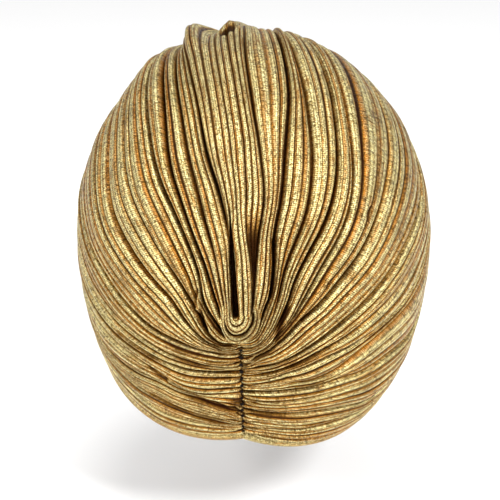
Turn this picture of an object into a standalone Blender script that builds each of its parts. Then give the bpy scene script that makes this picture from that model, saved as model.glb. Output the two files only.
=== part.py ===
"""Pleated turban cap of ribbed gold knit, in the form it takes when it is worn.

Metres, +Z up. The face side is at -Y and the back seam at +Y. The origin is the point under
the crown where the cap bears on the head.

The cap is a close dome. A row of nested pleats on each side starts at the back seam, runs
round the side of the head and closes over the forehead. Between the two sides a centre fold
runs over the crown from the top of the back seam. A turned edge runs round the opening.
"""

import bpy
import bmesh
import numpy as np

# Overall sizes, to the crests of the pleats
HALF_WIDTH = 0.0916
HALF_DEPTH = 0.1020
CROWN_RISE = 0.1063
LOWER_DROP = 0.1257

# Cloth and folds
CLOTH = 0.0018
PLEAT_HEIGHT = 0.0028
SLOT_DEPTH = 0.0044
RUFFLE_RISE = 0.0048
EDGE_ROLL_WIDTH = 0.0048
EDGE_ROLL_THICKNESS = 0.0040
PIECE_GAP = 0.0003
SEAT_BELOW_CROWN = 0.0056

# Counts
PLEATS_A_SIDE = 21
STEPS_ALONG = 18
ROLL_CORNERS = 8

# Turn angles in the centre plane, degrees: 0 at the back, 90 at the crown, 180 at the front
NAPE_TURN = -37.5
SEAM_TOP_TURN = -6.5
FRONT_TOP_TURN = 128.0
BROW_TURN = 172.0

# How the pleats bunch: powers of the across share, at the seam, over the side and in front
SEAM_BUNCHING = 0.62
SIDE_BUNCHING = 1.35
FRONT_BUNCHING = 1.0
SEAM_BLEND_POWER = 3.0

# Pleats are lower where they are gathered into the seam and the front
END_PLEAT_SHARE = 0.42
END_PLEAT_POWER = 0.6

# Uneven pleat widths: strength and rate of two waves, and the phase of each side
WIDTH_WAVES = (
    # strength, rate
    (0.20, 2.40),
    (0.14, 5.10),
)
WIDTH_PHASE = {1: 0.4, -1: 1.9}

# Side of the cap: 1 is the wearer's left (+X), -1 the wearer's right (-X)
# Pull points of the edge of the opening, in the side view: back-front share, up-down share
EDGE_PULLS = {
    1: ((0.316, -0.480), (-0.460, -0.030)),
    -1: ((0.060, -0.600), (-0.430, -0.070)),
}

# Centre fold along its length: middle and width as shares of the half width
CENTRE_FOLD = (
    # turn, middle, width
    (-6.5, -0.007, 0.109),
    (5.0, -0.013, 0.118),
    (17.0, -0.015, 0.142),
    (29.0, 0.000, 0.229),
    (40.0, 0.050, 0.278),
    (55.0, 0.109, 0.289),
    (75.0, 0.178, 0.306),
    (90.0, 0.207, 0.317),
    (107.0, 0.197, 0.284),
    (128.0, 0.000, 0.197),
)
ROUNDED_END_SHARE = 0.08

# Ribs across the centre fold, from the wearer's right edge to the left edge.
# The outer edge of each rib over the crown and at the lower slot, as a share of the width,
# the rise of its crest over the crown (share of the ruffle rise),
# and its crest at the lower slot (share of the slot depth)
CENTRE_RIBS = (
    # crown edge, slot edge, crown rise, slot crest
    (0.19, 0.24, 0.62, 0.00),
    (0.41, 0.50, 0.95, 1.00),
    (0.51, 0.76, 0.05, 0.92),
    (0.61, 0.90, 0.05, 0.00),
    (1.00, 1.00, 1.00, 0.00),
)
SLOT_TURNS = (20.0, 36.0)
RUFFLE_TURN = 104.0
RUFFLE_SPREAD = 26.0

# Profile of one pleat across its width: share of width, share of height
PLEAT_PROFILE = (
    # across, height
    (0.00, 0.00),
    (0.30, 0.96),
    (0.70, 1.00),
)

# Profile of one rib of the centre fold: share of width, share of height
RIB_PROFILE = (
    # across, height
    (0.00, 0.00),
    (0.18, 0.72),
    (0.50, 1.00),
    (0.82, 0.72),
)

# Deep folds between two pleats: side, share across, from and to along, extra depth
DEEP_FOLDS = (
    # side, across, start, stop, depth share
    (1, 0.855, 0.16, 0.66, 0.75),
    (1, 0.700, 0.14, 0.48, 0.45),
    (1, 0.560, 0.10, 0.42, 0.35),
    (1, 0.330, 0.04, 0.30, 0.35),
    (-1, 0.905, 0.20, 0.64, 0.75),
    (-1, 0.780, 0.14, 0.50, 0.45),
    (-1, 0.610, 0.12, 0.46, 0.45),
    (-1, 0.400, 0.06, 0.36, 0.35),
)

# Soft swellings and dents of the dome: rise is a share of the pleat height
DENTS = (
    # side, across, along, across spread, along spread, rise
    (1, 0.88, 0.62, 0.09, 0.16, 1.20),
    (1, 0.10, 0.30, 0.12, 0.12, -0.35),
    (-1, 0.72, 0.58, 0.16, 0.16, -0.50),
    (-1, 0.86, 0.72, 0.05, 0.12, 0.80),
    (-1, 0.12, 0.16, 0.14, 0.10, 0.45),
)

COLOURS = {
    # name: red, green, blue, roughness, metallic
    "left_panel": (0.56, 0.41, 0.17, 0.46, 0.35),
    "right_panel": (0.58, 0.42, 0.18, 0.46, 0.35),
    "centre_fold": (0.60, 0.44, 0.19, 0.44, 0.35),
    "edge_roll": (0.66, 0.50, 0.24, 0.42, 0.35),
}

NORMAL_STEP = 1e-6


def clear_scene():
    for thing in list(bpy.data.objects):
        bpy.data.objects.remove(thing, do_unlink=True)


def smooth_step(low, high, value):
    share = np.clip((value - low) / (high - low), 0.0, 1.0)
    return share * share * (3.0 - 2.0 * share)


def table_curve(rows, column, value):
    """Read a smooth curve out of a table whose first column rises."""
    table = np.array(rows, float)
    stations = table[:, 0]
    heights = table[:, column]
    slopes = np.gradient(heights, stations)
    index = np.clip(np.searchsorted(stations, value) - 1, 0, len(stations) - 2)
    length = stations[index + 1] - stations[index]
    share = np.clip((value - stations[index]) / length, 0.0, 1.0)
    rest = 1.0 - share
    start = (1.0 + 2.0 * share) * rest * rest * heights[index]
    start = start + share * rest * rest * length * slopes[index]
    stop = share * share * (3.0 - 2.0 * share) * heights[index + 1]
    stop = stop - share * share * rest * length * slopes[index + 1]
    return start + stop


# The side view disc: radius 1 is the centre plane, radius 0 the widest point of the side
def disc(radius, turn):
    angle = np.radians(turn)
    return np.stack([radius * np.cos(angle), radius * np.sin(angle)], -1)


def dome(spot, side):
    """Place side view disc points on the dome."""
    radius = np.hypot(spot[..., 0], spot[..., 1])
    angle = radius * np.pi / 2.0
    scale = np.sin(angle) / np.maximum(radius, NORMAL_STEP)
    back = spot[..., 0] * scale
    up = spot[..., 1] * scale
    rise = np.where(up > 0.0, CROWN_RISE, LOWER_DROP)
    return np.stack([side * HALF_WIDTH * np.cos(angle), HALF_DEPTH * back, rise * up], -1)


def dome_normal(point):
    rise = np.where(point[..., 2] > 0.0, CROWN_RISE, LOWER_DROP)
    across = point[..., 0] / HALF_WIDTH ** 2
    back = point[..., 1] / HALF_DEPTH ** 2
    up = point[..., 2] / rise ** 2
    normal = np.stack([across, back, up], -1)
    return normal / np.linalg.norm(normal, axis=-1, keepdims=True)


def edge_curve(along, side):
    """Edge of the head opening, from the nape to the brow."""
    first, second = (np.array(pull) for pull in EDGE_PULLS[side])
    share = along[..., None]
    rest = 1.0 - share
    curve = rest ** 3 * disc(1.0, NAPE_TURN) + share ** 3 * disc(1.0, BROW_TURN)
    return curve + 3.0 * rest * rest * share * first + 3.0 * rest * share * share * second


def slot_curve(along, side):
    """Edge of the centre fold, from the top of the back seam to the top of the front."""
    turn = SEAM_TOP_TURN + (FRONT_TOP_TURN - SEAM_TOP_TURN) * (1.0 - np.cos(np.pi * along)) / 2.0
    middle = table_curve(CENTRE_FOLD, 1, turn)
    width = table_curve(CENTRE_FOLD, 2, turn)
    ends = np.minimum(along, 1.0 - along)
    rounded = np.sqrt(np.clip(ends / ROUNDED_END_SHARE, 0.0, 1.0))
    sideways = side * middle + rounded * width / 2.0
    return disc(1.0 - np.arcsin(sideways) * 2.0 / np.pi, turn)


def pleat_path(across, along, side):
    """Disc point of a share across the pleats and a share along them."""
    across, along = np.broadcast_arrays(np.asarray(across, float), np.asarray(along, float))
    spread = (across ** SIDE_BUNCHING)[..., None]
    path = (1.0 - spread) * edge_curve(along, side) + spread * slot_curve(along, side)
    zero = np.zeros_like(along)
    path_back = (1.0 - spread) * edge_curve(zero, side) + spread * slot_curve(zero, side)
    path_front = (1.0 - spread) * edge_curve(zero + 1.0, side) + spread * slot_curve(zero + 1.0, side)
    seam_turn = NAPE_TURN + (SEAM_TOP_TURN - NAPE_TURN) * across ** SEAM_BUNCHING
    front_turn = BROW_TURN + (FRONT_TOP_TURN - BROW_TURN) * across ** FRONT_BUNCHING
    to_seam = ((1.0 - along) ** SEAM_BLEND_POWER)[..., None]
    to_front = (along ** SEAM_BLEND_POWER)[..., None]
    path = path + to_seam * (disc(1.0, seam_turn) - path_back)
    return path + to_front * (disc(1.0, front_turn) - path_front)


def pleat_edges(side):
    """Shares across at which one pleat ends and the next begins."""
    number = np.arange(PLEATS_A_SIDE)
    width = np.ones(PLEATS_A_SIDE)
    for strength, rate in WIDTH_WAVES:
        width = width + strength * np.sin(rate * number + WIDTH_PHASE[side])
    total = np.concatenate([[0.0], np.cumsum(width)])
    return total / total[-1]


def pleat_height(along):
    swell = np.clip(np.sin(np.pi * along), 0.0, 1.0) ** END_PLEAT_POWER
    return PLEAT_HEIGHT * (END_PLEAT_SHARE + (1.0 - END_PLEAT_SHARE) * swell)


def slot_share(turn):
    """1 beside the lower slots, 0 over the crown."""
    return 1.0 - smooth_step(SLOT_TURNS[0], SLOT_TURNS[1], turn)


def turn_along(along):
    return SEAM_TOP_TURN + (FRONT_TOP_TURN - SEAM_TOP_TURN) * (1.0 - np.cos(np.pi * along)) / 2.0


def steps_along():
    return (1.0 - np.cos(np.pi * np.linspace(0.0, 1.0, STEPS_ALONG + 1))) / 2.0


def dents(across, along, side):
    rise = np.zeros(np.broadcast(across, along).shape)
    for dent_side, middle, place, across_spread, along_spread, share in DENTS:
        if dent_side == side:
            far = ((across - middle) / across_spread) ** 2 + ((along - place) / along_spread) ** 2
            rise = rise + share * PLEAT_HEIGHT * np.exp(-far)
    return rise


def panel_grid(side):
    """Shares across, shares along and relief of one pleated side."""
    edges = pleat_edges(side)
    even = np.linspace(0.0, 1.0, PLEATS_A_SIDE + 1)
    along = steps_along()
    settle = along[None, :] ** 2
    valleys = edges[:, None] * (1.0 - settle) + even[:, None] * settle
    rows = []
    profile = []
    for number in range(PLEATS_A_SIDE):
        for share, height in PLEAT_PROFILE:
            rows.append(valleys[number] * (1.0 - share) + valleys[number + 1] * share)
            profile.append(height)
    rows.append(valleys[-1])
    profile.append(0.0)
    across = np.array(rows)
    height = np.array(profile)[:, None]
    relief = (height - 1.0) * pleat_height(along)[None, :]
    for fold_side, middle, start, stop, share in DEEP_FOLDS:
        if fold_side == side:
            valley = len(PLEAT_PROFILE) * int(np.abs(edges - middle).argmin())
            inside = np.clip((along - start) / (stop - start), 0.0, 1.0)
            relief[valley] -= share * PLEAT_HEIGHT * np.sin(np.pi * inside)
    beside_slot = slot_share(turn_along(along))
    relief[-1] -= beside_slot * (SLOT_DEPTH - pleat_height(along))
    relief = relief + dents(across, along[None, :], side)
    return across, along, relief


def wall(crest, relief):
    """Outer and inner surface points of a cloth wall."""
    normal = dome_normal(crest)
    outer = crest + normal * relief[..., None]
    return outer, outer - normal * CLOTH


def grid_solid(outer, inner):
    """Closed solid between two grids of points."""
    rows, columns = outer.shape[:2]
    points = np.concatenate([outer.reshape(-1, 3), inner.reshape(-1, 3)])
    number = np.arange(rows * columns).reshape(rows, columns)
    under = number + rows * columns
    faces = []
    for row in range(rows - 1):
        for column in range(columns - 1):
            ring = (
                number[row, column],
                number[row + 1, column],
                number[row + 1, column + 1],
                number[row, column + 1],
            )
            faces.append(ring)
            faces.append(tuple(index + rows * columns for index in reversed(ring)))
    rim = list(number[:, 0]) + list(number[-1, 1:]) + list(number[-2::-1, -1]) + list(number[0, -2:0:-1])
    low = list(under[:, 0]) + list(under[-1, 1:]) + list(under[-2::-1, -1]) + list(under[0, -2:0:-1])
    for here in range(len(rim)):
        after = (here + 1) % len(rim)
        faces.append((rim[after], rim[here], low[here], low[after]))
    return points, faces


def side_panel(side):
    across, along, relief = panel_grid(side)
    crest = dome(pleat_path(across, along[None, :], side), side)
    crest[:, 0, 0] = side * PIECE_GAP / 2.0
    crest[:, -1, 0] = side * PIECE_GAP / 2.0
    outer, inner = wall(crest, relief)
    for surface in (outer, inner):
        surface[:, 0, 0] = side * PIECE_GAP / 2.0
        surface[:, -1, 0] = side * PIECE_GAP / 2.0
    return grid_solid(outer, inner)


def moved_on_dome(curve, distance):
    """Move an open curve sideways on the dome, to the left of its run seen from outside."""
    run = np.gradient(curve, axis=0)
    sideways = np.cross(dome_normal(curve), run)
    sideways = sideways / np.linalg.norm(sideways, axis=-1, keepdims=True)
    return curve + sideways * distance


def fold_edge(side):
    """Edge of the centre fold, set in from the side panel by the gap."""
    curve = dome(pleat_path(1.0, steps_along(), side), side)
    return moved_on_dome(curve, -side * PIECE_GAP)[1:-1]


def centre_fold():
    left = fold_edge(1)
    right = fold_edge(-1)
    along = steps_along()[1:-1]
    turn = turn_along(along)
    slot = slot_share(turn)
    crown = np.exp(-((turn - RUFFLE_TURN) / RUFFLE_SPREAD) ** 2)
    low = pleat_height(along) * (1.0 - slot) + SLOT_DEPTH * slot
    start = np.zeros_like(along)
    shares = []
    reliefs = []
    for crown_edge, slot_edge, crown_rise, slot_crest in CENTRE_RIBS:
        stop = crown_edge * (1.0 - slot) + slot_edge * slot
        crest = crown_rise * RUFFLE_RISE * crown - (1.0 - slot_crest) * low * slot
        for share, height in RIB_PROFILE:
            shares.append(start * (1.0 - share) + stop * share)
            reliefs.append(crest * height - low * (1.0 - height))
        start = stop
    shares.append(start)
    reliefs.append(-low)
    share = np.array(shares)[..., None]
    flat = right[None] * (1.0 - share) + left[None] * share
    size = np.stack([flat[..., 0] / HALF_WIDTH, flat[..., 1] / HALF_DEPTH], -1)
    rise = np.where(flat[..., 2] > 0.0, CROWN_RISE, LOWER_DROP)
    length = np.sqrt((size ** 2).sum(-1) + (flat[..., 2] / rise) ** 2)
    crest = flat / length[..., None]
    outer, inner = wall(crest, np.array(reliefs))
    return grid_solid(outer, inner)


def edge_roll():
    """Turned edge round the opening: a closed ring of rounded sections."""
    left = dome(pleat_path(0.0, steps_along(), 1), 1)
    right = dome(pleat_path(0.0, steps_along(), -1), -1)
    loop = np.concatenate([left, right[-2:0:-1]])
    run = np.roll(loop, -1, axis=0) - np.roll(loop, 1, axis=0)
    normal = dome_normal(loop)
    down = np.cross(run, normal)
    down = down / np.linalg.norm(down, axis=-1, keepdims=True)
    down = down * np.where(down[:, 2] > 0.0, -1.0, 1.0)[:, None]
    middle = loop + down * (PIECE_GAP + EDGE_ROLL_WIDTH / 2.0) - normal * EDGE_ROLL_THICKNESS / 2.0
    turns = 2.0 * np.pi * np.arange(ROLL_CORNERS) / ROLL_CORNERS
    wide = np.cos(turns)[None, :, None] * down[:, None] * EDGE_ROLL_WIDTH / 2.0
    thick = np.sin(turns)[None, :, None] * normal[:, None] * EDGE_ROLL_THICKNESS / 2.0
    rings = middle[:, None] + wide + thick
    count = len(loop)
    faces = []
    for here in range(count):
        after = (here + 1) % count
        for corner in range(ROLL_CORNERS):
            turned = (corner + 1) % ROLL_CORNERS
            ring = (
                here * ROLL_CORNERS + corner,
                here * ROLL_CORNERS + turned,
                after * ROLL_CORNERS + turned,
                after * ROLL_CORNERS + corner,
            )
            faces.append(ring)
    return rings.reshape(-1, 3), faces


def add_piece(name, shape):
    points, faces = shape
    seat = np.array([0.0, 0.0, CROWN_RISE - SEAT_BELOW_CROWN])
    mesh = bpy.data.meshes.new(name)
    mesh.from_pydata([tuple(point) for point in points - seat], [], faces)
    body = bmesh.new()
    body.from_mesh(mesh)
    bmesh.ops.triangulate(body, faces=body.faces[:], quad_method="SHORT_EDGE")
    bmesh.ops.recalc_face_normals(body, faces=body.faces[:])
    body.to_mesh(mesh)
    body.free()
    red, green, blue, roughness, metallic = COLOURS[name]
    material = bpy.data.materials.new(name)
    material.use_nodes = True
    shader = material.node_tree.nodes["Principled BSDF"]
    shader.inputs["Base Color"].default_value = (red, green, blue, 1.0)
    shader.inputs["Roughness"].default_value = roughness
    shader.inputs["Metallic"].default_value = metallic
    mesh.materials.append(material)
    thing = bpy.data.objects.new(name, mesh)
    bpy.context.scene.collection.objects.link(thing)


clear_scene()
add_piece("left_panel", side_panel(1))
add_piece("right_panel", side_panel(-1))
add_piece("centre_fold", centre_fold())
add_piece("edge_roll", edge_roll())
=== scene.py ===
# %% [markdown]
# # A pleated turban cap in gold knit
#
# The cap is one close dome of ribbed metallic knit. Pleats start at the back seam, run round
# each side of the head and close over the forehead. A rope-like fold climbs from the top of
# the seam over the crown, with a dark slot beside it. The lower edge is turned into a roll.
#
# The lesson builds the cloth from the same named sizes as the frame: first the dome and the
# lines that the pleats follow, then the pleats' height over it, then the knit material.

# %% Load the frame
import math

import bpy
import numpy as np
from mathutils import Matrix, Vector


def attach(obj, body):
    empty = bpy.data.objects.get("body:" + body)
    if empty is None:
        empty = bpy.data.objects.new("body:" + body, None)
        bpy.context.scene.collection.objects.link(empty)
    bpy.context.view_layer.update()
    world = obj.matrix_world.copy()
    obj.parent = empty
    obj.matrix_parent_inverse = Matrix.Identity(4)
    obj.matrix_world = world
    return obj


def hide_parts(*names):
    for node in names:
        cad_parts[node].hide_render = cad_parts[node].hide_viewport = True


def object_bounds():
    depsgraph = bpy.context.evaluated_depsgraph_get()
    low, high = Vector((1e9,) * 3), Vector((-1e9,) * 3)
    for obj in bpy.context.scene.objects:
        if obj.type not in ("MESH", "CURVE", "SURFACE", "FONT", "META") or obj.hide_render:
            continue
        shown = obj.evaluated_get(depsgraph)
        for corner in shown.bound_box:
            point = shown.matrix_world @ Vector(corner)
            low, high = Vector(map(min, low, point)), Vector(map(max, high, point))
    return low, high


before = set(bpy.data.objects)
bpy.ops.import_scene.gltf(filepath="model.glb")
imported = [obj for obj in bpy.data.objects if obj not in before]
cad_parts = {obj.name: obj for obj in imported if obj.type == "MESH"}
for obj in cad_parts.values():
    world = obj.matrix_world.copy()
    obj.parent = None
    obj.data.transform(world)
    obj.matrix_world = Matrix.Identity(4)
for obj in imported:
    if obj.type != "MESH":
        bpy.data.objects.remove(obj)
cad_low, cad_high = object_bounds()
print("frame box, mm", [round(1000 * (b - a), 1) for a, b in zip(cad_low, cad_high)])

# %% [markdown]
# ## Named sizes
#
# Lengths are in metres. The dome is measured to the crests of the pleats, and its centre lies
# below the seat, the point under the crown where the head bears.

# %% Sizes
MM = 0.001
HALF_WIDTH = 0.0916
HALF_DEPTH = 0.1020
CROWN_RISE = 0.1063
LOWER_DROP = 0.1257
SEAT_BELOW_CROWN = 0.0056
CENTRE = np.array([0.0, 0.0, SEAT_BELOW_CROWN - CROWN_RISE])

CLOTH = 0.0012
RIB_DEPTH = 0.00130
FOLD_DEPTH = 0.0034
FOLD_WIDTH = 0.0010
BAND_RISE = 0.0021
RUFFLE_RISE = 0.0048
EDGE_ROLL_WIDTH = 0.0050
EDGE_ROLL_THICKNESS = 0.0042

# Turn angles in the centre plane: 0 at the back, 90 at the crown, 180 at the front
NAPE_TURN = -37.5
SEAM_TOP_TURN = -6.5
FRONT_TOP_TURN = 128.0
BROW_TURN = 172.0
SEAM_BUNCHING = 0.62
SIDE_BUNCHING = 1.35
SEAM_BLEND_POWER = 3.0
ROUNDED_END_SHARE = 0.08

LEFT = 1
RIGHT = -1
SIDE_NAME = {LEFT: "left", RIGHT: "right"}

# %% [markdown]
# ## Tables of the folds
#
# Each row of `FOLD_LINES` is one valley between two main folds. Its numbers are how far it
# lies across the side, from 0 at the lower edge to 1 at the centre fold, at the stations of
# `STATIONS`, which run from 0 at the back seam to 1 at the front. `ribs` is the number of fine
# ribs between this valley and the one below it, and the last three columns say how deep the
# valley is and between which stations.

# %% Tables
STATIONS = (0.00, 0.05, 0.10, 0.15, 0.20, 0.25, 0.30, 0.40, 0.50, 0.65, 1.00)
TOP_LINE = (1.0,) * len(STATIONS)

FOLD_LINES = {
    LEFT: (
        # ribs, across at each station, depth, start, stop
        (3, (0.03, 0.050, 0.075, 0.090, 0.092, 0.105, 0.115, 0.115, 0.11, 0.10, 0.10), 0.5, 0.02, 0.45),
        (4, (0.05, 0.090, 0.125, 0.165, 0.190, 0.180, 0.170, 0.150, 0.15, 0.15, 0.16), 0.6, 0.02, 0.40),
        (7, (0.12, 0.225, 0.307, 0.316, 0.325, 0.286, 0.246, 0.215, 0.21, 0.22, 0.24), 1.0, -0.05, 0.50),
        (3, (0.33, 0.345, 0.340, 0.345, 0.375, 0.365, 0.335, 0.290, 0.28, 0.29, 0.32), 0.5, 0.10, 0.45),
        (4, (0.54, 0.553, 0.536, 0.493, 0.457, 0.425, 0.393, 0.355, 0.35, 0.37, 0.40), 1.0, -0.02, 0.45),
        (3, (0.62, 0.610, 0.585, 0.554, 0.514, 0.480, 0.450, 0.425, 0.43, 0.45, 0.48), 0.5, 0.02, 0.40),
        (4, (0.76, 0.745, 0.705, 0.650, 0.595, 0.546, 0.523, 0.507, 0.52, 0.54, 0.56), 0.9, 0.04, 0.50),
        (6, (0.825, 0.800, 0.757, 0.725, 0.711, 0.705, 0.682, 0.668, 0.705, 0.72, 0.70), 0.9, 0.05, 0.62),
        (3, (0.905, 0.846, 0.790, 0.772, 0.780, 0.775, 0.765, 0.760, 0.785, 0.81, 0.78), 1.0, -0.10, 0.34),
        (4, (0.95, 0.930, 0.885, 0.855, 0.835, 0.857, 0.861, 0.857, 0.865, 0.89, 0.86), 1.0, 0.02, 0.82),
        (2, (0.97, 0.955, 0.925, 0.909, 0.900, 0.893, 0.886, 0.895, 0.915, 0.93, 0.92), 0.9, 0.08, 0.78),
        (2, (0.985, 0.980, 0.960, 0.950, 0.945, 0.940, 0.935, 0.950, 0.955, 0.965, 0.96), 0.8, 0.25, 0.82),
        (3, TOP_LINE, 0.0, 0.00, 1.00),
    ),
    RIGHT: (
        (4, (0.025, 0.080, 0.098, 0.132, 0.143, 0.130, 0.110, 0.090, 0.09, 0.09, 0.10), 0.6, 0.04, 0.40),
        (5, (0.150, 0.204, 0.236, 0.251, 0.237, 0.200, 0.190, 0.150, 0.15, 0.16, 0.18), 0.9, -0.05, 0.40),
        (4, (0.255, 0.310, 0.350, 0.362, 0.357, 0.335, 0.310, 0.250, 0.24, 0.25, 0.27), 0.4, -0.05, 0.30),
        (2, (0.335, 0.407, 0.439, 0.436, 0.418, 0.379, 0.354, 0.279, 0.27, 0.29, 0.32), 1.0, -0.10, 0.55),
        (3, (0.380, 0.457, 0.495, 0.475, 0.471, 0.475, 0.461, 0.400, 0.36, 0.37, 0.40), 0.7, 0.08, 0.45),
        (3, (0.440, 0.530, 0.571, 0.575, 0.560, 0.520, 0.486, 0.430, 0.40, 0.42, 0.46), 0.7, 0.05, 0.42),
        (2, (0.507, 0.579, 0.611, 0.614, 0.600, 0.570, 0.545, 0.490, 0.46, 0.48, 0.52), 0.6, -0.05, 0.32),
        (3, (0.586, 0.645, 0.658, 0.655, 0.641, 0.621, 0.593, 0.550, 0.50, 0.53, 0.58), 0.8, -0.02, 0.60),
        (5, (0.640, 0.755, 0.773, 0.768, 0.760, 0.729, 0.714, 0.680, 0.665, 0.68, 0.68), 1.0, 0.00, 0.50),
        (3, (0.730, 0.790, 0.800, 0.795, 0.790, 0.792, 0.790, 0.770, 0.79, 0.80, 0.77), 0.8, 0.10, 0.72),
        (3, (0.800, 0.835, 0.840, 0.835, 0.838, 0.850, 0.844, 0.815, 0.82, 0.84, 0.83), 1.0, 0.12, 0.78),
        (3, (0.870, 0.875, 0.880, 0.880, 0.885, 0.896, 0.893, 0.879, 0.885, 0.90, 0.88), 0.8, 0.16, 0.82),
        (3, (0.950, 0.945, 0.935, 0.929, 0.919, 0.932, 0.955, 0.945, 0.92, 0.92, 0.92), 1.0, 0.10, 0.80),
        (4, TOP_LINE, 0.0, 0.00, 1.00),
    ),
}

# Short creases and crossing ridges: from and to (across, along), width and rise in mm
CREASES = (
    # side, across, along, to across, to along, width, rise
    (LEFT, 0.783, 0.160, 0.802, 0.195, 1.3, -3.4),
    (LEFT, 0.795, 0.197, 0.856, 0.245, 1.0, 1.7),
    (LEFT, 0.800, 0.212, 0.832, 0.232, 0.9, -2.2),
    (LEFT, 0.875, 0.100, 0.845, 0.165, 1.1, -2.0),
    (LEFT, 0.360, 0.185, 0.368, 0.235, 0.7, -0.9),
    (RIGHT, 0.803, 0.130, 0.832, 0.200, 1.5, -1.7),
    (RIGHT, 0.918, 0.200, 0.955, 0.290, 1.2, -2.2),
    (RIGHT, 0.750, 0.205, 0.735, 0.240, 0.9, -1.8),
    (RIGHT, 0.747, 0.280, 0.715, 0.400, 0.8, -1.6),
)

# Pull points of the edge of the opening, in the side view
EDGE_PULLS = {
    LEFT: ((0.316, -0.480), (-0.460, -0.030)),
    RIGHT: ((0.060, -0.600), (-0.430, -0.070)),
}

# Centre fold along its length: middle and width as shares of the half width
CENTRE_FOLD = (
    # turn, middle, width
    (-6.5, -0.007, 0.109),
    (5.0, -0.013, 0.118),
    (17.0, -0.015, 0.142),
    (29.0, 0.000, 0.229),
    (40.0, 0.050, 0.278),
    (55.0, 0.109, 0.289),
    (75.0, 0.178, 0.306),
    (90.0, 0.207, 0.317),
    (107.0, 0.197, 0.284),
    (128.0, 0.000, 0.197),
)

# Soft swellings and dents of the dome: rise in mm
DENTS = (
    # side, across, along, across spread, along spread, rise
    (LEFT, 0.88, 0.62, 0.09, 0.16, 3.4),
    (LEFT, 0.10, 0.30, 0.12, 0.12, -1.0),
    (RIGHT, 0.72, 0.58, 0.16, 0.16, -0.7),
    (RIGHT, 0.86, 0.72, 0.05, 0.12, 0.6),
    (RIGHT, 0.912, 0.66, 0.02, 0.08, 2.2),
    (RIGHT, 0.12, 0.16, 0.14, 0.10, 1.3),
    (RIGHT, 0.24, 0.30, 0.13, 0.10, 2.4),
    (LEFT, 0.30, 0.42, 0.20, 0.14, -1.2),
)

for side in (LEFT, RIGHT):
    print(SIDE_NAME[side], "ribs:", sum(row[0] for row in FOLD_LINES[side]))

# %% [markdown]
# ## The dome and the pleat lines
#
# A side view disc maps every point of one side: the centre plane is its rim and the widest
# point of the side its middle. Pleat lines are blends of two curves on the disc, the edge of
# the opening and the edge of the centre fold. Near the seam and the front the blend is bent
# so that the pleats meet the centre plane squarely.

# %% Dome functions
def table_curve(stations, heights, value):
    """Smooth curve through the rows of a table."""
    stations = np.asarray(stations, float)
    heights = np.asarray(heights, float)
    slopes = np.gradient(heights, stations)
    index = np.clip(np.searchsorted(stations, value) - 1, 0, len(stations) - 2)
    length = stations[index + 1] - stations[index]
    share = np.clip((value - stations[index]) / length, 0.0, 1.0)
    rest = 1.0 - share
    start = (1.0 + 2.0 * share) * rest * rest * heights[index] + share * rest * rest * length * slopes[index]
    stop = share * share * (3.0 - 2.0 * share) * heights[index + 1]
    return start + stop - share * share * rest * length * slopes[index + 1]


def smooth_step(low, high, value):
    share = np.clip((value - low) / (high - low), 0.0, 1.0)
    return share * share * (3.0 - 2.0 * share)


def fade(low, high, value):
    """Falls smoothly from 1 to 0."""
    return 1.0 - smooth_step(low, high, value)


def bell(value, middle, spread):
    return np.exp(-((value - middle) / spread) ** 2)


def ridge_share(place, sharpness):
    """1 on the crest of a rib and 0 in the valleys on both sides of it."""
    return 1.0 - np.abs(2.0 * place - 1.0) ** sharpness


def disc(radius, turn):
    angle = np.radians(turn)
    return np.stack([radius * np.cos(angle), radius * np.sin(angle)], -1)


def dome(spot, side):
    """Side view disc points, placed on the dome about its centre."""
    radius = np.hypot(spot[..., 0], spot[..., 1])
    angle = radius * np.pi / 2.0
    scale = np.sin(angle) / np.maximum(radius, 1e-9)
    up = spot[..., 1] * scale
    rise = np.where(up > 0.0, CROWN_RISE, LOWER_DROP)
    return np.stack([side * HALF_WIDTH * np.cos(angle), HALF_DEPTH * spot[..., 0] * scale, rise * up], -1)


def rise_at(point):
    return np.where(point[..., 2] > 0.0, CROWN_RISE, LOWER_DROP)


def dome_normal(point):
    rise = rise_at(point)
    normal = point / np.stack([np.full_like(rise, HALF_WIDTH), np.full_like(rise, HALF_DEPTH), rise], -1) ** 2
    return normal / np.linalg.norm(normal, axis=-1, keepdims=True)


def edge_curve(along, side):
    first, second = (np.array(pull) for pull in EDGE_PULLS[side])
    share = along[..., None]
    rest = 1.0 - share
    curve = rest ** 3 * disc(1.0, NAPE_TURN) + share ** 3 * disc(1.0, BROW_TURN)
    return curve + 3.0 * rest * rest * share * first + 3.0 * rest * share * share * second


def turn_along(along):
    return SEAM_TOP_TURN + (FRONT_TOP_TURN - SEAM_TOP_TURN) * (1.0 - np.cos(np.pi * along)) / 2.0


def slot_curve(along, side):
    turn = turn_along(along)
    stations, middles, widths = np.array(CENTRE_FOLD).T
    middle = table_curve(stations, middles, turn)
    width = table_curve(stations, widths, turn)
    ends = np.minimum(along, 1.0 - along)
    rounded = np.sqrt(np.clip(ends / ROUNDED_END_SHARE, 0.0, 1.0))
    sideways = side * middle + rounded * width / 2.0
    return disc(1.0 - np.arcsin(sideways) * 2.0 / np.pi, turn)


def pleat_path(across, along, side):
    across, along = np.broadcast_arrays(np.asarray(across, float), np.asarray(along, float))
    spread = (across ** SIDE_BUNCHING)[..., None]

    def blend(place):
        return (1.0 - spread) * edge_curve(place, side) + spread * slot_curve(place, side)

    zero = np.zeros_like(along)
    seam_turn = NAPE_TURN + (SEAM_TOP_TURN - NAPE_TURN) * across ** SEAM_BUNCHING
    front_turn = BROW_TURN + (FRONT_TOP_TURN - BROW_TURN) * across
    to_seam = ((1.0 - along) ** SEAM_BLEND_POWER)[..., None]
    to_front = (along ** SEAM_BLEND_POWER)[..., None]
    path = blend(along) + to_seam * (disc(1.0, seam_turn) - blend(zero))
    return path + to_front * (disc(1.0, front_turn) - blend(zero + 1.0))


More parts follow.
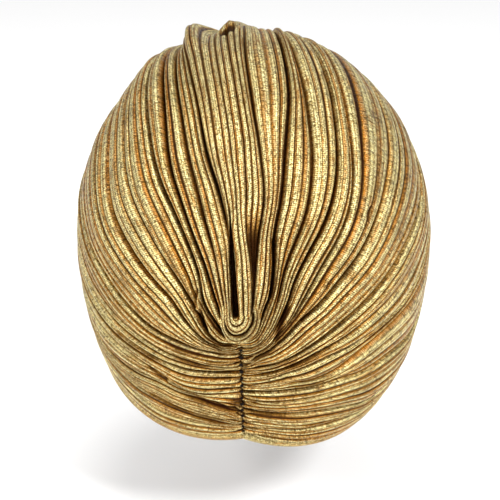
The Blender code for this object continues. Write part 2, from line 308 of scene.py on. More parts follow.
def running_length(crest, axis):
    """Length over the cloth from the first point of each line of a grid."""
    step = np.linalg.norm(np.diff(crest, axis=axis), axis=-1)
    start = np.zeros_like(np.take(step, [0], axis=axis))
    return np.concatenate([start, np.cumsum(step, axis=axis)], axis=axis)


# %% [markdown]
# ## The slot and the rope's turn
#
# The dark slot opens at the left edge of the centre fold. Its foot is round, and the rope
# beside it turns under the foot in nested U lines. One distance describes both: how far a
# point lies from the slot's line, drawn out below the foot and drawn in beyond it.

# %% Slot functions
RIB_SHARPNESS = 3.0
SLOT_FOOT = (0.0025, -0.0040)
SLOT_LEAN = 0.065
BELOW_SHARE = 0.77
BEYOND_SHARE = 1.64
SLOT_WALL = 0.5 * MM
GROOVE_DISTANCE = 8.5 * MM
GROOVE_WIDTH = 0.75 * MM
GROOVE_DEPTH = 2.6 * MM
GROOVE_HEIGHTS = (-1.0 * MM, 3.0 * MM)
GROOVE_ROUND = (0.62, 0.85)
TURN_REACH = (10.5 * MM, 13.0 * MM)
TURN_HEIGHTS = (0.0, 7.0 * MM)
EDGE_VALLEY_WIDTH = 0.9 * MM
EDGE_VALLEY_POWER = 1.6

SLOT_SECTIONS = (
    # turn, half width in mm, depth in mm
    (-30.0, 1.45, 6.6),
    (-2.0, 1.45, 6.6),
    (6.0, 1.25, 6.6),
    (12.0, 1.30, 6.2),
    (17.0, 0.85, 5.0),
    (21.0, 0.45, 3.6),
    (25.0, 0.20, 2.0),
    (30.0, 0.10, 0.0),
    (60.0, 0.10, 0.0),
)

EDGE_VALLEYS = (
    # turn, depth at the centre fold's left edge in mm, depth at its right edge in mm
    (-6.5, 0.0, 0.0),
    (-2.0, 0.0, 2.4),
    (3.0, 0.0, 3.4),
    (12.0, 0.0, 3.8),
    (19.0, 1.6, 3.6),
    (24.0, 3.2, 2.4),
    (33.0, 4.2, 2.0),
    (42.0, 3.6, 2.4),
    (55.0, 2.4, 3.0),
    (75.0, 1.8, 2.2),
    (100.0, 1.5, 1.5),
    (128.0, 1.0, 1.0),
)


def slot_place(point):
    """Plain and drawn distance from the slot's line, and how far round the foot from the right."""
    height = point[..., 2] - SLOT_FOOT[1]
    aside = SLOT_FOOT[0] + SLOT_LEAN * np.maximum(height, 0.0) - point[..., 0]
    below = np.maximum(-height, 0.0)
    far = np.hypot(aside, below)
    round_foot = np.arctan2(below, aside) / np.pi
    drawn = np.where(round_foot < 0.5, 1.0 + (BELOW_SHARE - 1.0) * smooth_step(0.0, 0.5, round_foot),
                     BELOW_SHARE + (BEYOND_SHARE - BELOW_SHARE) * smooth_step(0.5, 1.0, round_foot))
    return far, far * drawn, round_foot


def back_turn(point):
    return np.degrees(np.arctan2(point[..., 2] / rise_at(point), point[..., 1] / HALF_DEPTH))


def slot_carving(point):
    """Depth of the slot and of the groove round the rope's turn, only at the back."""
    far, drawn, round_foot = slot_place(point)
    turn = back_turn(point)
    stations, halves, depths = np.array(SLOT_SECTIONS).T
    half = np.interp(turn, stations, halves) * MM
    depth = np.interp(turn, stations, depths) * MM
    slot = depth * fade(half - SLOT_WALL, half + SLOT_WALL, far)
    groove = GROOVE_DEPTH * bell(drawn, GROOVE_DISTANCE, GROOVE_WIDTH)
    groove = groove * fade(*GROOVE_HEIGHTS, point[..., 2] - SLOT_FOOT[1]) * fade(*GROOVE_ROUND, round_foot)
    behind = point[..., 1] > 0.0
    return np.where(behind, slot, 0.0), np.where(behind, groove, 0.0)


def edge_valley(turn, to_edge, side):
    """Depth of the valley along the centre fold's edge at one side."""
    stations, left_depths, right_depths = np.array(EDGE_VALLEYS).T
    depth = np.interp(turn, stations, left_depths if side == LEFT else right_depths) * MM
    return depth * np.exp(-(to_edge / EDGE_VALLEY_WIDTH) ** EDGE_VALLEY_POWER)


# U lines round the foot: outer edge in mm of drawn distance, depth of the valley at it in mm
TURN_RIBS = (
    # edge, valley depth
    (1.9, 0.6),
    (4.3, 1.6),
    (6.5, 0.35),
    (8.5, 0.8),
    (10.4, 1.6),
    (12.2, 1.0),
    (14.5, 1.0),
)


def turn_relief(point):
    """The nested U lines: relief, ridge share, place on the rib, and how much they rule."""
    drawn, round_foot = slot_place(point)[1:]
    edges = np.array([0.0] + [row[0] for row in TURN_RIBS]) * MM
    depths = np.array([0.0] + [row[1] for row in TURN_RIBS]) * MM
    index = np.clip(np.searchsorted(edges, drawn, side="right") - 1, 0, len(edges) - 2)
    part = np.clip((drawn - edges[index]) / (edges[index + 1] - edges[index]), 0.0, 1.0)
    ridge = ridge_share(part, RIB_SHARPNESS)
    depth = depths[index] * (1.0 - part) + depths[index + 1] * part
    rule = fade(*TURN_REACH, drawn) * fade(*TURN_HEIGHTS, point[..., 2] - SLOT_FOOT[1])
    return -depth * (1.0 - ridge), ridge, part, rule * (point[..., 1] > 0.0)


# %% [markdown]
# ## The pleats' relief
#
# Every fine rib is a rounded ridge between two sharp valleys. The main fold lines cut deeper.
# Creases are drawn over them by their distance on the cloth. The seam is a groove that pulls
# the rib ends in, and the cloth puffs up between the stitches.

# %% Fold field
RIB_SAMPLES = 8
STEPS_ALONG = 164
SEAM_GROOVE_DEPTH = 1.0 * MM
SEAM_GROOVE_WIDTH = 0.8 * MM
PUFF_PITCH = 4.3 * MM
PUFF_RISE = 3.4 * MM
PUFF_REACH = 7.0 * MM
RIB_WIDTH_CHANGE = 0.28
SEAM_ROUNDING = 1.1
SEAM_DEEPENING = 0.5
SHADED_RIB = 0.55
RUFFLE_TURN = 104.0
RUFFLE_SPREAD = 26.0
FOLD_EDGE_RISE = 0.55 * RUFFLE_RISE
FOLD_EDGE_REACH = 5.0 * MM
TALL_PLEAT_RISE = 8.6 * MM
TALL_PLEAT_TURN = 99.0
TALL_PLEAT_SPREAD = 17.0
TALL_PLEAT_REACH = 1.3 * MM
TALL_PLEAT_WIDTH = 8.0 * MM
TALL_PLEAT_EASE = 0.35
TALL_PLEAT_ROUND = 1.8 * MM
VALLEY_CHANGE = 0.70
STITCHED_SHARE = 0.87
SEED = 11
LEAST_GAP = 0.004
WAVE_PACE = 1.7
WAVE_LEAST = 0.4
WAVE_LIMIT = 1.2
NEAR_SEAM = (0.10, 0.42)
LEAN_CHANGE = 0.5
VALLEY_WAVE = 0.5
DEEPEST_SHARE = 0.9
RIB_WAVE = 0.35 * MM
SHADED_WAVE = (0.25, 0.95)
# painted shade in a valley: how dark it is drawn always, near the seam, and by its depth
VALLEY_LINE = (0.25, 0.35, 0.9)
FOLD_OPENS = 0.06
FOLD_CLOSES = 0.14
FOLD_POWER = 1.4
FOLD_SHADE = 0.85
# stations near the seam, and the share of a fold's depth there
FOLD_EASE = ((0.0, 0.04, 0.12), (0.45, 0.7, 1.0))
BAND_PLAIN = 0.30
BAND_FOLDED = 0.70
BAND_POWER = 2.6
CREASE_SHADE = 0.75
CARVED_SHADE_DEPTH = 3.0 * MM
STITCHED_FADE = 0.05
PUCKER_SWAY = 0.35
PUCKER_LENGTH = 9.0 * MM
PUCKER_SHIFT = 0.2
PUFF_POWER = 0.6
PUFF_FALL = 1.5
GROOVE_SHADE = 0.25
PUCKER_SHADE = 0.9
# a rib's tint: middle, change from rib to rib, slow wave along it, and near the seam; the last is painted
# shade, more orange ground darker towards the seam
TINT = (0.45, 0.35, 0.3, 0.22)


def steps_along(count):
    share = np.linspace(0.0, 1.0, count + 1)
    return 0.5 * share + 0.5 * (1.0 - np.cos(np.pi * share)) / 2.0


def rib_valleys(side, along, random):
    """Across share of each rib's valley at each step, and the main fold lines."""
    rows = FOLD_LINES[side]
    lines = np.array([table_curve(STATIONS, row[1], along) for row in rows])
    lines = np.concatenate([np.zeros((1, len(along))), lines])
    lines[-1] = 1.0
    for number in range(1, len(lines)):
        lines[number] = np.maximum(lines[number], lines[number - 1] + LEAST_GAP)
    lines = lines / lines[-1]
    valleys = []
    for number, row in enumerate(rows):
        width = 1.0 + RIB_WIDTH_CHANGE * random.uniform(-1.0, 1.0, row[0])
        share = np.concatenate([[0.0], np.cumsum(width)])[:-1] / width.sum()
        for part in share:
            valleys.append(lines[number] * (1.0 - part) + lines[number + 1] * part)
    valleys.append(lines[-1])
    return np.array(valleys), lines[1:-1]


def slow_wave(random, count, along, waves=3):
    """One smooth random wave along each rib, about -1 to 1."""
    total = np.zeros((count, len(along)))
    for wave in range(1, waves + 1):
        phase = random.uniform(0.0, 2.0 * np.pi, (count, 1))
        size = random.uniform(WAVE_LEAST, 1.0, (count, 1)) / wave
        total += size * np.sin(2.0 * np.pi * wave * WAVE_PACE * along[None] + phase)
    return total / WAVE_LIMIT


def crease_distance(place, start, stop):
    run = stop - start
    share = np.clip(((place - start) @ run) / (run @ run), 0.0, 1.0)
    return np.linalg.norm(place - (start + share[..., None] * run), axis=-1)


def cut_folds(relief, shade, side, along, across, across_length, lines):
    """Main folds: bands that swell between the valleys, and the valleys themselves, with painted shade along
    them.
    """
    edge = np.zeros((1, len(along)))
    bounds = np.concatenate([edge, lines, edge + 1.0])
    windows = [edge[0]]
    for strength, start, stop in (row[2:] for row in FOLD_LINES[side][:-1]):
        opening = smooth_step(start, start + FOLD_OPENS, along) * fade(stop - FOLD_CLOSES, stop, along)
        windows.append(strength * opening)
    windows.append(edge[0])
    for number in range(len(bounds) - 1):
        low, high = bounds[number], bounds[number + 1]
        inside_band = (across - low) / (high - low)
        nearer = np.where(inside_band < 0.5, windows[number], windows[number + 1])
        strength = BAND_PLAIN + BAND_FOLDED * nearer
        swell = BAND_RISE * strength * np.abs(2.0 * inside_band - 1.0) ** BAND_POWER
        relief = relief - np.where((inside_band >= 0.0) & (inside_band < 1.0), swell, 0.0)
    ease = np.interp(along, *FOLD_EASE)[None]
    for number, line in enumerate(lines):
        centre = [np.interp(line[c], across[:, c], across_length[:, c]) for c in range(len(along))]
        far = np.abs(across_length - np.array(centre)[None]) / FOLD_WIDTH
        groove = windows[number + 1][None] * np.exp(-far ** FOLD_POWER)
        relief = relief - FOLD_DEPTH * groove * ease
        # painted shade along the fold's valley
        shade = shade * (1.0 - FOLD_SHADE * groove)
    return relief, shade


def add_creases(relief, shade, side, along, across, crest):
    """Creases and crossing ridges, then dents and swellings."""
    for crease_side, from_across, from_along, to_across, to_along, width, rise in CREASES:
        if crease_side == side:
            path = pleat_path([from_across, to_across], [from_along, to_along], side)
            shape = bell(crease_distance(crest, *dome(path, side)), 0.0, width * MM)
            relief = relief + rise * MM * shape
            # painted shade along a sunken crease, and painted full light along a crossing ridge
            shade = shade * (1.0 - CREASE_SHADE * shape) if rise < 0 else np.maximum(shade, shape)
    for dent_side, middle, station, across_spread, along_spread, rise in DENTS:
        if dent_side == side:
            far = ((across - middle) / across_spread) ** 2 + ((along[None] - station) / along_spread) ** 2
            relief = relief + rise * MM * np.exp(-far)
    return relief, shade


def gather_seam(relief, shade, side, across, crest):
    """The seam's groove, and puffs of cloth between its stitches, with painted shade in the groove and
    between the puffs.
    """
    sideways = np.abs(crest[..., 0])
    behind = (crest[..., 1] > 0.0) * fade(STITCHED_SHARE - STITCHED_FADE, STITCHED_SHARE, across)
    pinch = bell(sideways, 0.0, SEAM_GROOVE_WIDTH) * behind
    height = crest[..., 2]
    pucker = height / PUFF_PITCH + PUCKER_SWAY * np.sin(height / PUCKER_LENGTH + side) + PUCKER_SHIFT * side
    puff = np.abs(np.sin(np.pi * pucker)) ** PUFF_POWER
    near = np.exp(-(sideways / PUFF_REACH) ** PUFF_FALL) * behind
    relief = relief - SEAM_GROOVE_DEPTH * pinch - PUFF_RISE * (1.0 - puff) * near
    # painted shade in the seam groove and in the creases between the puffs
    return relief, shade * (1.0 - GROOVE_SHADE * pinch) * (1.0 - PUCKER_SHADE * (1.0 - puff) * near)


def side_field(side):
    random = np.random.default_rng(SEED + (side == RIGHT))
    along = steps_along(STEPS_ALONG)
    turn = turn_along(along)
    valleys, lines = rib_valleys(side, along, random)
    count = len(valleys) - 1
    part = np.arange(RIB_SAMPLES)[None, :, None] / RIB_SAMPLES
    across = valleys[:-1, None] * (1.0 - part) + valleys[1:, None] * part
    across = np.concatenate([across.reshape(-1, len(along)), valleys[-1:]])
    place = np.concatenate([np.tile(part.ravel(), count), [0.0]])
    rib = np.concatenate([np.repeat(np.arange(count), RIB_SAMPLES), [count - 1]])
    crest = dome(pleat_path(across, along[None], side), side)
    crest[:, 0, 0] = 0.0
    crest[:, -1, 0] = 0.0
    across_length = running_length(crest, 0)
    # fine ribs: each leans to one side, and some valleys are deep and others faint
    wave = slow_wave(random, count, along)
    lean = random.uniform(-LEAN_CHANGE, LEAN_CHANGE, count)
    leaned = (place ** (2.0 ** lean[rib]))[:, None]
    near_seam = fade(*NEAR_SEAM, along)
    ridge = ridge_share(leaned, (RIB_SHARPNESS - SEAM_ROUNDING * near_seam)[None])
    pitch = np.diff(across_length[::RIB_SAMPLES], axis=0)
    valley_depth = RIB_DEPTH * (1.0 + VALLEY_CHANGE * random.uniform(-1.0, 1.0, (count + 1, 1)))
    valley_depth = valley_depth * (1.0 + VALLEY_WAVE * slow_wave(random, count + 1, along))
    depth = valley_depth[rib] * (1.0 - place[:, None]) + valley_depth[rib + 1] * place[:, None]
    always, by_seam, by_depth = VALLEY_LINE
    line = np.clip(always + by_seam * near_seam + by_depth * depth / RIB_DEPTH, 0.0, 1.0)
    depth = np.minimum(depth * (1.0 + SEAM_DEEPENING * near_seam[None]), DEEPEST_SHARE * pitch[rib])
    relief = -depth * (1.0 - ridge) + RIB_WAVE * wave[rib] * ridge
    # painted shade: dark lines in the valleys, and whole ribs near the seam shaded over parts of their length
    shaded = smooth_step(*SHADED_WAVE, slow_wave(random, count, along))[rib] * near_seam[None]
    shade = (1.0 - (1.0 - ridge) * line) * (1.0 - SHADED_RIB * shaded)
    relief, shade = cut_folds(relief, shade, side, along, across, across_length, lines)
    relief, shade = add_creases(relief, shade, side, along, across, crest)
    # U lines take over round the slot's foot
    turned, turned_ridge, turned_part, rule = turn_relief(crest)
    relief = relief * (1.0 - rule) + turned * rule
    shade = shade * (1.0 - rule) + turned_ridge * rule
    to_slot = across_length[-1:] - across_length
    if side == LEFT:
        # the tall pleat over the crown beside the centre fold
        tall = TALL_PLEAT_RISE * bell(turn, TALL_PLEAT_TURN, TALL_PLEAT_SPREAD)
        relief = relief + (1.0 - TALL_PLEAT_EASE) * tall[None] * bell(to_slot, 0.0, TALL_PLEAT_REACH)
    else:
        # the right side climbs to meet the standing pleats of the centre fold
        climb = FOLD_EDGE_RISE * bell(turn, RUFFLE_TURN, RUFFLE_SPREAD)
        relief = relief + climb[None] * bell(to_slot, 0.0, FOLD_EDGE_REACH)
    slot, groove = slot_carving(crest)
    carved = np.maximum(slot, np.maximum(groove, edge_valley(turn, to_slot, side) * (1.0 - rule)))
    # painted shade in the slot, the groove round the rope's turn and the valleys along the centre fold
    shade = shade * np.clip(1.0 - carved / CARVED_SHADE_DEPTH, 0.0, 1.0)
    relief, shade = gather_seam(relief - carved, shade, side, across, crest)
    middle, by_rib, by_wave, by_seam = TINT
    tint = middle + by_rib * random.uniform(-1.0, 1.0, (count, 1))
    # near the seam the tint rises: more orange ground, painted shade darker towards the seam
    tint = tint + by_wave * slow_wave(random, count, along, 2) + by_seam * near_seam
    tint = np.clip(tint, 0.0, 1.0)[rib]
    # the ridge mark carries the rib crests together with the painted shade worked out above
    marks = {"ridge": shade, "part": leaned * (1.0 - rule) + turned_part * rule, "tint": tint}
    rib_number = np.repeat(rib[:, None] + leaned, len(along), axis=1)
    return crest, relief, marks, running_length(crest, 1), rib_number


fields = {side: side_field(side) for side in (LEFT, RIGHT)}
for side, field in fields.items():
    lowest, highest = field[1].min() / MM, field[1].max() / MM
    print(SIDE_NAME[side], "grid", field[0].shape[:2], "relief mm", round(lowest, 2), round(highest, 2))

# %% [markdown]
# ## Cloth walls
#
# A wall is an outer grid and a coarser inner grid, joined round their rim. The inner grid
# takes every second point, so the rim is a strip of five-sided faces.

# %% Wall builder
def both_grids(values):
    return np.concatenate([values.ravel(), values[::2, ::2].ravel()])


def looks_inward(points, face, middle):
    first, second, third = points[face[:3]]
    return np.dot(np.cross(second - first, third - first), first - middle) < 0.0


def add_object(name, data):
    thing = bpy.data.objects.new(name, data)
    bpy.context.scene.collection.objects.link(thing)
    return thing


def cloth_object(name, points, faces, marks, u, v):
    """One piece of cloth with its marks and the knit's own map."""
    mesh = bpy.data.meshes.new(name)
    mesh.from_pydata(points.tolist(), [], faces)
    mesh.polygons.foreach_set("use_smooth", [True] * len(mesh.polygons))
    for label, values in marks.items():
        mesh.attributes.new(label, "FLOAT", "POINT").data.foreach_set("value", values.ravel().astype("f4"))
    corner = np.empty(len(mesh.loops), dtype=np.int32)
    mesh.loops.foreach_get("vertex_index", corner)
    spots = np.stack([u[corner], v[corner]], -1).astype("f4")
    mesh.uv_layers.new(name="knit").data.foreach_set("uv", spots.ravel())
    mesh.update()
    print(name, "triangles", sum(len(p.vertices) - 2 for p in mesh.polygons))
    return add_object(name, mesh)


def make_wall(name, crest, relief, marks, lengths, rib_numbers):
    normal = dome_normal(crest)
    outer = crest + normal * relief[..., None] + CENTRE
    inner = (outer - normal * CLOTH)[::2, ::2]
    rows, columns = outer.shape[:2]
    low_rows, low_columns = inner.shape[:2]
    number = np.arange(rows * columns).reshape(rows, columns)
    under = np.arange(low_rows * low_columns).reshape(low_rows, low_columns) + rows * columns
    top = np.stack([number[:-1, :-1], number[1:, :-1], number[1:, 1:], number[:-1, 1:]], -1).reshape(-1, 4)
    low = np.stack([under[:-1, 1:], under[1:, 1:], under[1:, :-1], under[:-1, :-1]], -1).reshape(-1, 4)
    faces = top.tolist() + low.tolist()
    rims = (
        (number[:, 0], under[:, 0]),
        (number[-1, :], under[-1, :]),
        (number[::-1, -1], under[::-1, -1]),
        (number[0, ::-1], under[0, ::-1]),
    )
    for high_rim, low_rim in rims:
        for step in range(len(low_rim) - 1):
            a, b, c = high_rim[2 * step:2 * step + 3]
            faces.append([int(c), int(b), int(a), int(low_rim[step]), int(low_rim[step + 1])])
    points = np.concatenate([outer.reshape(-1, 3), inner.reshape(-1, 3)])
    if looks_inward(points, top[len(top) // 2], CENTRE):
        faces = [face[::-1] for face in faces]
    marks = {label: both_grids(values) for label, values in marks.items()}
    marks["inside"] = np.concatenate([np.zeros(rows * columns), np.ones(low_rows * low_columns)])
    return cloth_object(name, points, faces, marks, both_grids(lengths), both_grids(rib_numbers))


cloth = {side: make_wall(SIDE_NAME[side] + "_cloth", *fields[side]) for side in (LEFT, RIGHT)}

# %% [markdown]
# ## The centre fold
#
# Over the crown it is a fan of ribs that stand up as small ruffles. At the lower slot it
# narrows to one rope, which turns under the slot in a U.

# %% Centre fold
# Valleys between the ribs, as shares across from the wearer's right edge, at these turns
CENTRE_TURNS = (-6.5, -1.8, 2.2, 6.3, 12.2, 18.8, 24.0, 31.0, 41.0, 60.0, 104.0, 128.0)
CENTRE_VALLEYS = (
    # shares at the turns above, from the right edge to the left
    (0.00, 0.00, 0.00, 0.02, 0.07, 0.12, 0.14, 0.12, 0.08, 0.07, 0.08, 0.09),
    (0.01, 0.01, 0.01, 0.05, 0.14, 0.26, 0.28, 0.24, 0.17, 0.15, 0.18, 0.19),
    (0.02, 0.02, 0.03, 0.09, 0.22, 0.39, 0.43, 0.38, 0.29, 0.26, 0.30, 0.30),
    (0.22, 0.22, 0.23, 0.28, 0.38, 0.51, 0.56, 0.52, 0.44, 0.40, 0.41, 0.41),
    (0.41, 0.41, 0.44, 0.49, 0.56, 0.66, 0.66, 0.61, 0.53, 0.50, 0.51, 0.51),
    (0.62, 0.62, 0.70, 0.77, 0.80, 0.88, 0.77, 0.72, 0.65, 0.61, 0.61, 0.61),
    (0.70, 0.70, 0.78, 0.84, 0.87, 0.93, 0.87, 0.84, 0.80, 0.76, 0.74, 0.74),
    (0.90, 0.90, 0.92, 0.94, 0.95, 0.97, 0.94, 0.93, 0.90, 0.88, 0.87, 0.87),
)
CENTRE_RIBS = (
    # rise over the crown as a share of the ruffle rise, depth of the valley on its left in mm
    (0.55, 0.8),
    (0.85, 0.9),
    (1.00, 2.0),
    (0.50, 0.5),
    (0.00, 1.4),
    (0.00, 0.7),
    (0.00, 1.3),
    (0.00, 1.0),
    (0.00, 0.0),
)
CENTRE_RIB_SAMPLES = 10
CENTRE_STEPS = 482
HOLLOW_DEPTH = 3.0 * MM
HOLLOW_TURNS = (1.0, 8.0, 15.0, 31.0)
ARCH_PLACE = 0.27
ARCH_TURN = 92.0
ARCH_HALF_WIDTH = 3.3 * MM
ARCH_HALF_TURN = 3.2
ARCH_DEPTH = 4.0 * MM
ARCH_CORD_RISE = 1.0 * MM
ARCH_CORD_FAR = 1.70
ARCH_CORD_WIDTH = 0.42
CENTRE_LEAST_GAP = 0.003
EVEN_TURNS = (2.0, 14.0)
TALL_PLEAT_POWER = 6
CROWN_DEEPENING = 0.6
HOLLOW_EDGE = (0.06, 0.05)
ARCH_POWER = 1.5
ARCH_CORD_TURNS = (ARCH_TURN - 4.0, ARCH_TURN + 1.0)
ARCH_CORD_RIDGE = 0.75
ARCH_SHADE = (0.85, 1.30)
FOOT_BLEND = 1.0 * MM
CENTRE_SHADE_DEPTH = 3.4 * MM
# tint of the fold: middle, wave, its pace from rib to rib and along, hollow (more orange ground there, as
# painted shade), cord of the arch
CENTRE_TINT = (0.5, 0.35, 2.3, 5.0, 0.4, 0.3)


def centre_field():
    along = steps_along(CENTRE_STEPS)[1:-1]
    turn = turn_along(along)
    left = dome(pleat_path(1.0, along, LEFT), LEFT)
    right = dome(pleat_path(1.0, along, RIGHT), RIGHT)
    count = len(CENTRE_RIBS)
    edge = np.zeros((1, len(turn)))
    valleys = np.array([table_curve(CENTRE_TURNS, row, turn) for row in CENTRE_VALLEYS])
    valleys = np.concatenate([edge, valleys, edge + 1.0])
    for number in range(1, len(valleys) - 1):
        valleys[number] = np.maximum(valleys[number], valleys[number - 1] + CENTRE_LEAST_GAP)
    # the grid follows the ribs, so that every rib has the same number of rows
    rows = np.arange(count * CENTRE_RIB_SAMPLES + 1)
    rib = np.minimum(rows // CENTRE_RIB_SAMPLES, count - 1)
    part = ((rows - rib * CENTRE_RIB_SAMPLES) / CENTRE_RIB_SAMPLES)[:, None]
    even = smooth_step(*EVEN_TURNS, turn)[None]
    place = valleys[rib] * (1.0 - part) + valleys[rib + 1] * part
    place = place * even + np.linspace(0.0, 1.0, len(rows))[:, None] * (1.0 - even)
    flat = right[None] * (1.0 - place[..., None]) + left[None] * place[..., None]
    size = np.stack([flat[..., 0] / HALF_WIDTH, flat[..., 1] / HALF_DEPTH, flat[..., 2] / rise_at(flat)], -1)
    crest = flat / np.linalg.norm(size, axis=-1, keepdims=True)
    width = np.linalg.norm(left - right, axis=-1)
    # where a point lies among the ribs
    index = np.sum(place[None] >= valleys[1:-1, None], axis=0)
    columns = np.arange(len(turn))[None]
    low, high = valleys[index, columns], valleys[index + 1, columns]
    inside = np.clip((place - low) / (high - low), 0.0, 1.0)
    bump = ridge_share(inside, RIB_SHARPNESS)
    crown = bell(turn, RUFFLE_TURN, RUFFLE_SPREAD)[None]
    rises = np.array([row[0] for row in CENTRE_RIBS])
    depths = np.array([0.0] + [row[1] for row in CENTRE_RIBS]) * MM
    depth = depths[index] * (1.0 - inside) + depths[index + 1] * inside
    valley = depth * (1.0 + CROWN_DEEPENING * crown) * (1.0 - bump)
    middles = (valleys[:-1] + valleys[1:]) / 2.0
    level = np.array([np.interp(place[:, c], middles[:, c], rises) for c in range(len(turn))]).T
    to_left = (1.0 - place) * width
    tall = TALL_PLEAT_RISE * bell(turn, TALL_PLEAT_TURN, TALL_PLEAT_SPREAD)[None]
    tall = tall * np.exp(-(to_left / TALL_PLEAT_WIDTH) ** TALL_PLEAT_POWER)
    tall = tall * (1.0 - TALL_PLEAT_EASE * bell(to_left, 0.0, TALL_PLEAT_ROUND))
    relief = level * RUFFLE_RISE * crown + tall - valley
    # the hollow between the rope and the right edge
    opening = smooth_step(*HOLLOW_TURNS[:2], turn) * fade(*HOLLOW_TURNS[2:], turn)
    rope_edge = valleys[3][None]
    hollow = opening[None] * fade(rope_edge - HOLLOW_EDGE[0], rope_edge + HOLLOW_EDGE[1], place)
    # the hollow under the arch at the crown, carved deep and darkened with painted shade
    arch = ((place - ARCH_PLACE) * width[None] / ARCH_HALF_WIDTH) ** 2
    arch = arch + ((turn[None] - ARCH_TURN) / ARCH_HALF_TURN) ** 2
    arch_hollow = np.exp(-arch ** ARCH_POWER)
    arch_cord = bell(np.sqrt(arch), ARCH_CORD_FAR, ARCH_CORD_WIDTH)
    arch_cord = arch_cord * smooth_step(*ARCH_CORD_TURNS, turn)[None]
    relief = relief + (ARCH_CORD_RISE + valley) * arch_cord
    # U lines below the foot, the slot, and the valleys along both edges
    turned, turned_ridge, turned_part, _ = turn_relief(crest)
    below = fade(-FOOT_BLEND, FOOT_BLEND, crest[..., 2] - SLOT_FOOT[1])
    relief = relief * (1.0 - below) + turned * below
    ridge = bump * (1.0 - below) + turned_ridge * below
    part_mark = inside * (1.0 - below) + turned_part * below
    left_valley = edge_valley(turn, to_left, LEFT) * (1.0 - below)
    right_valley = edge_valley(turn, place * width, RIGHT) * (1.0 - below)
    carved = np.maximum.reduce([*slot_carving(crest), left_valley, right_valley])
    carved = np.maximum(carved, HOLLOW_DEPTH * hollow) + ARCH_DEPTH * arch_hollow
    ridge = np.maximum(ridge, ARCH_CORD_RIDGE * arch_cord * (1.0 - below))
    # painted shade: darker in the slot, the edge valleys, the hollow beside the rope and under the arch
    ridge = ridge * np.clip(1.0 - carved / CENTRE_SHADE_DEPTH, 0.0, 1.0)
    ridge = ridge * smooth_step(*ARCH_SHADE, np.sqrt(arch))
    middle, wave, by_rib, by_place, by_hollow, by_cord = CENTRE_TINT
    tint = middle + wave * np.sin(by_rib * index + by_place * along[None])
    # more orange ground in the hollow beside the rope is painted shade
    tint = np.clip(tint + by_hollow * hollow + by_cord * arch_cord, 0.0, 1.0)
    # the ridge mark carries the rib crests together with this painted shade
    marks = {"ridge": ridge, "part": part_mark, "tint": tint}
    return crest, relief - carved, marks, running_length(crest, 1), index + inside


centre = make_wall("centre_fold_cloth", *centre_field())

# %% [markdown]
# ## The turned edge
#
# One closed tube follows the edge of the opening. Its section is a flattened round.

# %% Edge roll
ROLL_STEPS = 150
ROLL_CORNERS = 24
ROLL_TUCK = 0.7 * MM
ROLL_RIBS = 6
ROLL_SINK = 0.62
ROLL_RIDGE = 0.8
# tint of the edge: middle, wave, and the wave's pace along it
ROLL_TINT = (0.35, 0.2, 40.0)


def make_roll(name):
    along = steps_along(ROLL_STEPS)
    left = dome(pleat_path(0.0, along, LEFT), LEFT)
    right = dome(pleat_path(0.0, along, RIGHT), RIGHT)
    loop = np.concatenate([left, right[-2:0:-1]])
    normal = dome_normal(loop)
    down = np.cross(np.roll(loop, -1, axis=0) - np.roll(loop, 1, axis=0), normal)
    down = down / np.linalg.norm(down, axis=-1, keepdims=True)
    down = down * np.where(down[:, 2] > 0.0, -1.0, 1.0)[:, None]
    middle = loop + down * (EDGE_ROLL_WIDTH / 2.0 - ROLL_TUCK) - normal * EDGE_ROLL_THICKNESS * ROLL_SINK
    turns = 2.0 * np.pi * np.arange(ROLL_CORNERS) / ROLL_CORNERS
    rings = middle[:, None] + CENTRE
    rings = rings + np.cos(turns)[None, :, None] * down[:, None] * EDGE_ROLL_WIDTH / 2.0
    rings = rings + np.sin(turns)[None, :, None] * normal[:, None] * EDGE_ROLL_THICKNESS / 2.0
    number = np.arange(len(loop) * ROLL_CORNERS).reshape(len(loop), ROLL_CORNERS)
    after = np.roll(number, -1, axis=0)
    turned = np.roll(number, -1, axis=1)
    faces = np.stack([number, turned, np.roll(after, -1, axis=1), after], -1).reshape(-1, 4)
    points = rings.reshape(-1, 3)
    if looks_inward(points, faces[ROLL_CORNERS // 4], CENTRE + middle[0]):
        faces = faces[:, ::-1]
    step = np.linalg.norm(np.roll(loop, -1, axis=0) - loop, axis=-1)
    length = np.repeat(np.concatenate([[0.0], np.cumsum(step)[:-1]])[:, None], ROLL_CORNERS, axis=1)
    tint, wave, pace = ROLL_TINT
    marks = {
        "ridge": np.full(number.shape, ROLL_RIDGE),
        "part": np.repeat(((np.sin(turns) + 1.0) / 4.0 + 0.25)[None], len(loop), axis=0),
        "tint": tint + wave * np.sin(pace * length),
        "inside": np.zeros(number.shape),
    }
    v = np.repeat((turns / (2.0 * np.pi) * ROLL_RIBS)[None], len(loop), axis=0).ravel()
    print(name, "length mm", round(step.sum() / MM))
    return cloth_object(name, points, faces.tolist(), marks, length.ravel(), v)


roll = make_roll("edge_roll_cloth")

# %% [markdown]
# ## Seam stitches
#
# Dark thread shows where the seam pinches the pleats. Geometry Nodes places one short loop of
# thread at each point of a line that follows the seam groove, with a seeded change of size
# and tilt.

# %% Node helper
def add_node(tree, kind, settings=None, links=None, values=None):
    """Add a node, set its properties and socket values, and link its inputs."""
    node = tree.nodes.new(kind)
    for key, value in (settings or {}).items():
        setattr(node, key, value)
    for key, value in (values or {}).items():
        node.inputs[key].default_value = value
    for key, socket in (links or {}).items():
        tree.links.new(socket, node.inputs[key])
    return node


def new_material(name):
    material = bpy.data.materials.new(name)
    material.use_nodes = True
    return material, material.node_tree, material.node_tree.nodes["Principled BSDF"]


def linear(code):
    """sRGB hex to a linear colour."""
    parts = [int(code[place:place + 2], 16) / 255.0 for place in (1, 3, 5)]
    return tuple(p / 12.92 if p <= 0.04045 else ((p + 0.055) / 1.055) ** 2.4 for p in parts) + (1.0,)


